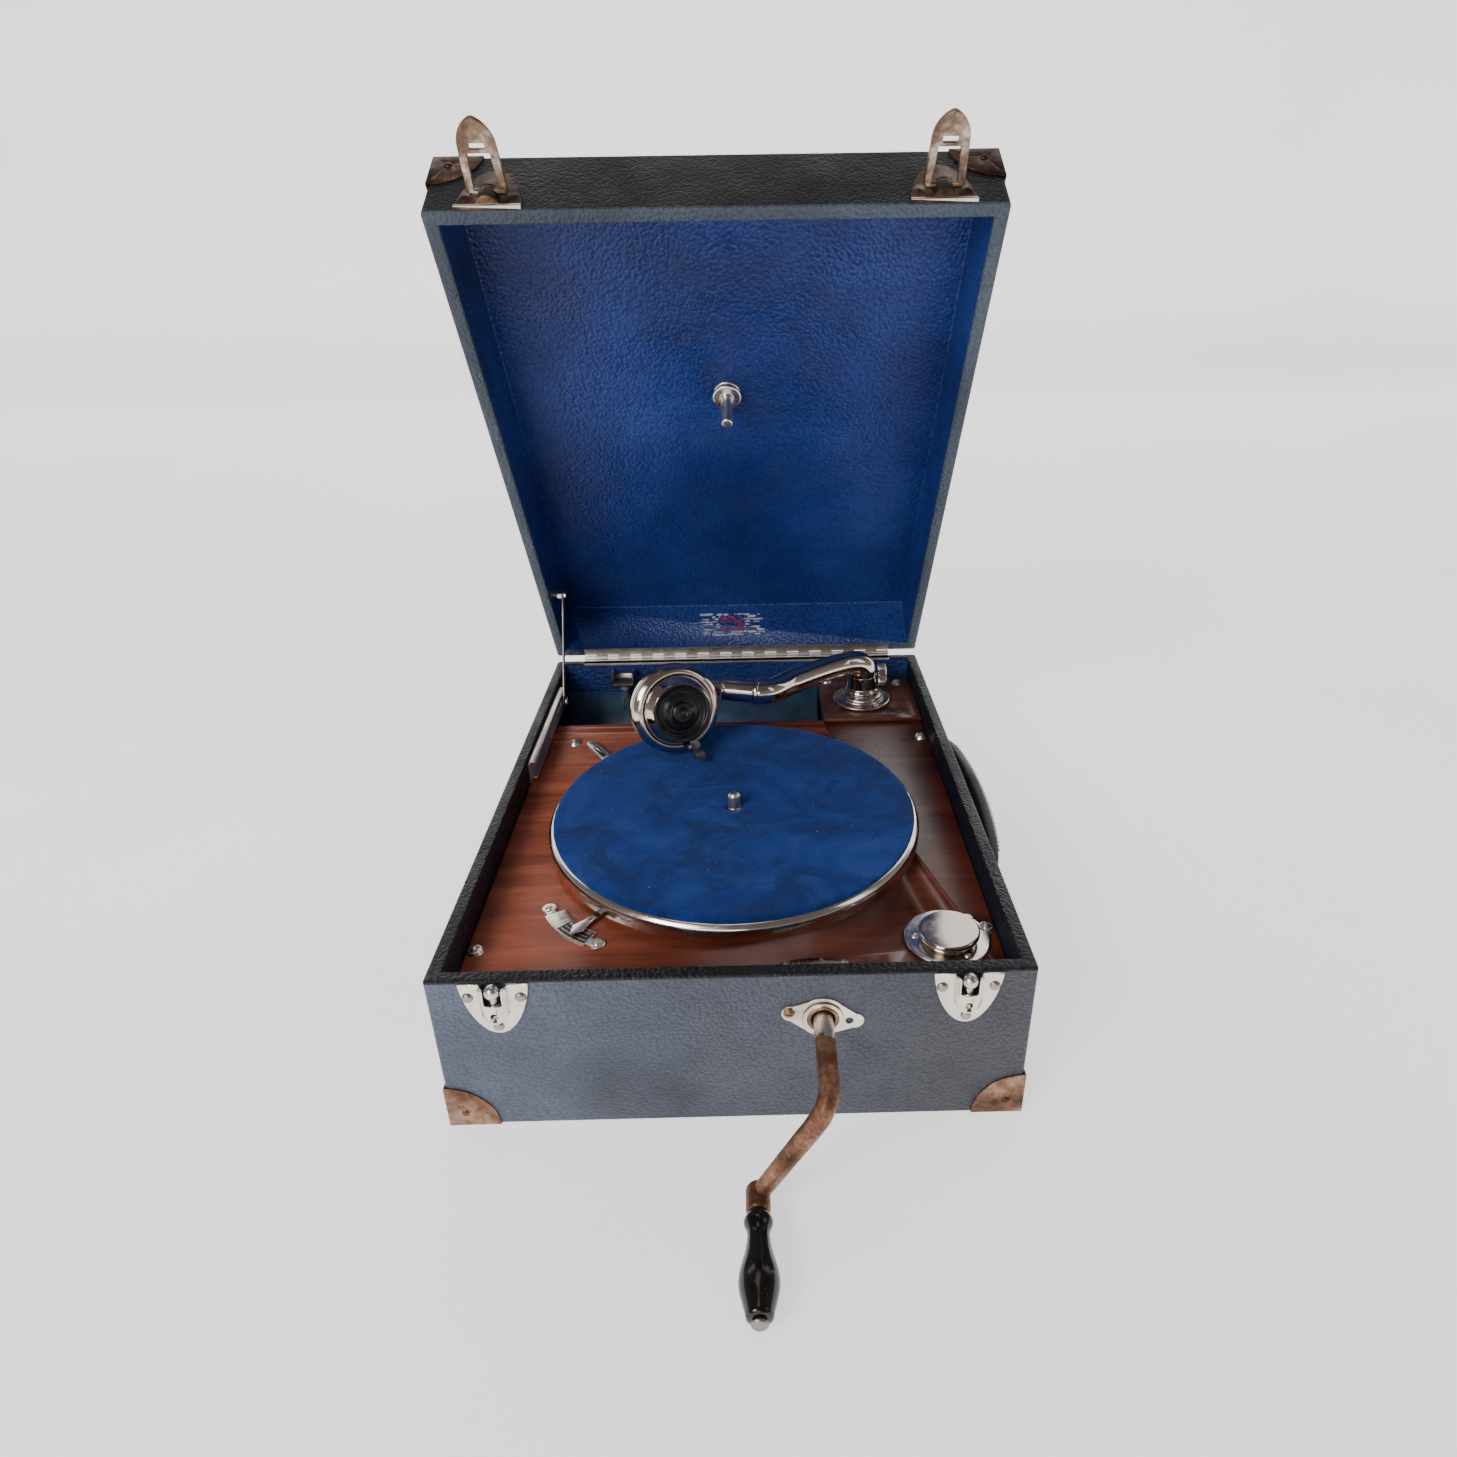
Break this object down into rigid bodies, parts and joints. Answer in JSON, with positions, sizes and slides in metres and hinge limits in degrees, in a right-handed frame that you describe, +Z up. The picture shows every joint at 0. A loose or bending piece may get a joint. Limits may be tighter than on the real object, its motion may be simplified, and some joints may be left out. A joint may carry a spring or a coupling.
{
  "type": "wind up phonograph",
  "caption": "Portable wind-up phonograph in an open hinged case: turntable, swan-neck tone arm with soundbox, side handle and front winding crank.",
  "frame": {"origin": "middle of the base case's footprint, on its underside", "axes": "+Z up along the spindle, +X to the user's right, -Y to the front where the crank comes out"},
  "size_m": [0.304, 0.5206, 0.4478],
  "materials": {
    "leathercloth": "pebbled",
    "base_board": "matt",
    "mahogany": "satin",
    "nickel": "polished",
    "copper_worn": "worn",
    "steel": "satin",
    "blue_paint": "satin",
    "felt_blue": "felt",
    "leather_brown": "worn",
    "rust_brown": "worn",
    "grip_black": "gloss",
    "brass": "satin",
    "cast_grey": "matt",
    "spring_blue": "blued",
    "face_black": "gloss",
    "white_metal": "satin",
    "thread": "frayed"
  },
  "bodies": {
    "base": {"base_case": "leathercloth", "bottom_panel": "base_board", "motor_board": "mahogany", "arm_board": "mahogany", "case_fasteners": "nickel", "horn_reflector": "blue_paint", "horn_throat": "blue_paint", "shaft_cover": "nickel", "hinge_base_leaf": "steel", "hinge_pin": "steel", "stay_track": "steel", "base_corners": "copper_worn", "lock_plates": "steel", "handle_brackets": "steel", "escutcheon": "steel", "motor_bedplate": "cast_grey", "motor_lower_plate": "cast_grey", "arm_flange": "nickel", "speed_plate": "nickel", "needle_cup": "nickel", "rest_clip": "steel", "clip_threads": "thread"},
    "lid": {"lid_walls": "leathercloth", "lid_panel": "leathercloth", "record_post": "nickel", "hinge_lid_leaf": "steel", "stay_rivet": "steel", "lid_corners": "copper_worn", "lid_nails": "steel", "hasp_plates": "copper_worn"},
    "stay_link": {"stay_rod": "steel"},
    "stay_shoe": {"stay_slider": "steel"},
    "left_button": {"lock_button_left": "nickel"},
    "right_button": {"lock_button_right": "nickel"},
    "left_hasp": {"hasp_left": "steel"},
    "right_hasp": {"hasp_right": "steel"},
    "handle": {"handle_strap": "leather_brown"},
    "crank": {"crank_rod": "rust_brown", "winding_shaft": "steel"},
    "grip": {"crank_grip": "grip_black"},
    "barrel": {"spring_barrel": "cast_grey", "mainspring": "spring_blue"},
    "arbor": {"winding_arbor": "steel"},
    "pawl": {"ratchet_pawl": "steel"},
    "idler": {"intermediate_gear": "brass"},
    "turntable": {"spindle": "nickel", "platter": "nickel", "platter_felt": "felt_blue"},
    "governor_set": {"governor": "brass"},
    "arm": {"arm_column": "nickel", "arm_tube": "nickel"},
    "soundbox": {"arm_neck": "nickel", "soundbox_shell": "nickel", "soundbox_face": "face_black", "stylus_bar": "steel"},
    "thumb_screw": {"arm_knob": "nickel"},
    "pinch_screw": {"needle_screw": "steel"},
    "regulator": {"speed_lever": "nickel"},
    "brake": {"brake_lever": "white_metal"},
    "cup_cover": {"cup_lid": "nickel"}
  },
  "joints": [
    {"name": "lid_hinge", "type": "hinge", "parent": "base", "child": "lid", "pos_m": [0, 0.185, 0.0933], "axis": [-1, 0, 0], "range_deg": [-52, 0]},
    {"name": "stay_pivot", "type": "hinge", "parent": "lid", "child": "stay_link", "pos_m": [-0.1293, 0.16764, 0.15363], "axis": [1, 0, 0], "range_deg": [-88, 1]},
    {"name": "shoe_pivot", "type": "hinge", "parent": "stay_link", "child": "stay_shoe", "pos_m": [-0.1293, 0.12834, 0.0828], "axis": [1, 0, 0], "range_deg": [-1, 36]},
    {"name": "left_button_press", "type": "slide", "parent": "base", "child": "left_button", "axis": [0, 0, 1], "range_m": [-0.0025, 0], "stiffness_N_per_m": 300, "springref_m": 0.002},
    {"name": "right_button_press", "type": "slide", "parent": "base", "child": "right_button", "axis": [0, 0, 1], "range_m": [-0.0025, 0], "stiffness_N_per_m": 300, "springref_m": 0.002},
    {"name": "left_hasp_hinge", "type": "hinge", "parent": "lid", "child": "left_hasp", "pos_m": [-0.11, 0.00225, 0.41764], "axis": [1, 0, 0], "range_deg": [-75, 85]},
    {"name": "right_hasp_hinge", "type": "hinge", "parent": "lid", "child": "right_hasp", "pos_m": [0.11, 0.00225, 0.41764], "axis": [1, 0, 0], "range_deg": [-75, 85]},
    {"name": "handle_swing", "type": "hinge", "parent": "base", "child": "handle", "pos_m": [0.1485, 0.005, 0.066], "axis": [0, 1, 0], "range_deg": [-12, 12]},
    {"name": "crank_turn", "type": "hinge", "parent": "base", "child": "crank", "pos_m": [0.0424, -0.1835, 0.066], "axis": [0, 1, 0], "continuous": true},
    {"name": "grip_spin", "type": "hinge", "parent": "crank", "child": "grip", "pos_m": [0.01021, -0.27, 0.01069], "axis": [0, 1, 0], "continuous": true},
    {"name": "arbor_turn", "type": "hinge", "parent": "base", "child": "arbor", "pos_m": [0.0424, -0.09, 0.04], "axis": [0, 0, 1], "continuous": true},
    {"name": "pawl_lift", "type": "hinge", "parent": "base", "child": "pawl", "pos_m": [0.0224, -0.096, 0.05], "axis": [0, 0, 1], "range_deg": [0, 35]},
    {"name": "platter_turn", "type": "hinge", "parent": "base", "child": "turntable", "pos_m": [0, -0.0385, 0.08], "axis": [0, 0, 1], "continuous": true},
    {"name": "barrel_turn", "type": "hinge", "parent": "base", "child": "barrel", "pos_m": [0.0424, -0.09, 0.03], "axis": [0, 0, 1], "continuous": true},
    {"name": "idler_turn", "type": "hinge", "parent": "base", "child": "idler", "pos_m": [0.02835, -0.0483, 0.04], "axis": [0, 0, 1], "continuous": true},
    {"name": "governor_spin", "type": "hinge", "parent": "base", "child": "governor_set", "pos_m": [-0.013, -0.018, 0.0246], "axis": [1, 0, 0], "continuous": true},
    {"name": "arm_swing", "type": "hinge", "parent": "base", "child": "arm", "pos_m": [0.0945, 0.1337, 0.09], "axis": [0, 0, -1], "range_deg": [-9, 32]},
    {"name": "soundbox_turn", "type": "hinge", "parent": "arm", "child": "soundbox", "pos_m": [0.0148, 0.0619, 0.1196], "axis": [-0.9905, 0.1216, 0.0645], "range_deg": [0, 100]},
    {"name": "arm_screw_turn", "type": "hinge", "parent": "arm", "child": "thumb_screw", "pos_m": [0.108, 0.1395, 0.095], "axis": [1, 0, 0], "range_deg": [-180, 180]},
    {"name": "needle_screw_turn", "type": "hinge", "parent": "soundbox", "child": "pinch_screw", "pos_m": [-0.0235, 0.01629, 0.09791], "axis": [0.3961, -0.8939, 0.2096], "range_deg": [-180, 180]},
    {"name": "speed_set", "type": "hinge", "parent": "base", "child": "regulator", "pos_m": [-0.052, -0.092, 0.076], "axis": [0, 0, 1], "range_deg": [-9, 9]},
    {"name": "brake_set", "type": "hinge", "parent": "base", "child": "brake", "pos_m": [-0.088, 0.053, 0.075], "axis": [0, 0, 1], "range_deg": [-15, 6]},
    {"name": "cup_cover_swing", "type": "hinge", "parent": "base", "child": "cup_cover", "pos_m": [0.1206, -0.1302, 0.078], "axis": [0, 0, 1], "range_deg": [-80, 13]}
  ],
  "couplings": [
    {"joint": "stay_pivot", "follows": "lid_hinge", "ratio": 1.675},
    {"joint": "shoe_pivot", "follows": "lid_hinge", "ratio": -0.675},
    {"joint": "arbor_turn", "follows": "crank_turn", "ratio": -0.5},
    {"joint": "barrel_turn", "follows": "platter_turn", "ratio": 0.039474},
    {"joint": "idler_turn", "follows": "platter_turn", "ratio": -0.25},
    {"joint": "governor_spin", "follows": "platter_turn", "ratio": 10}
  ]
}
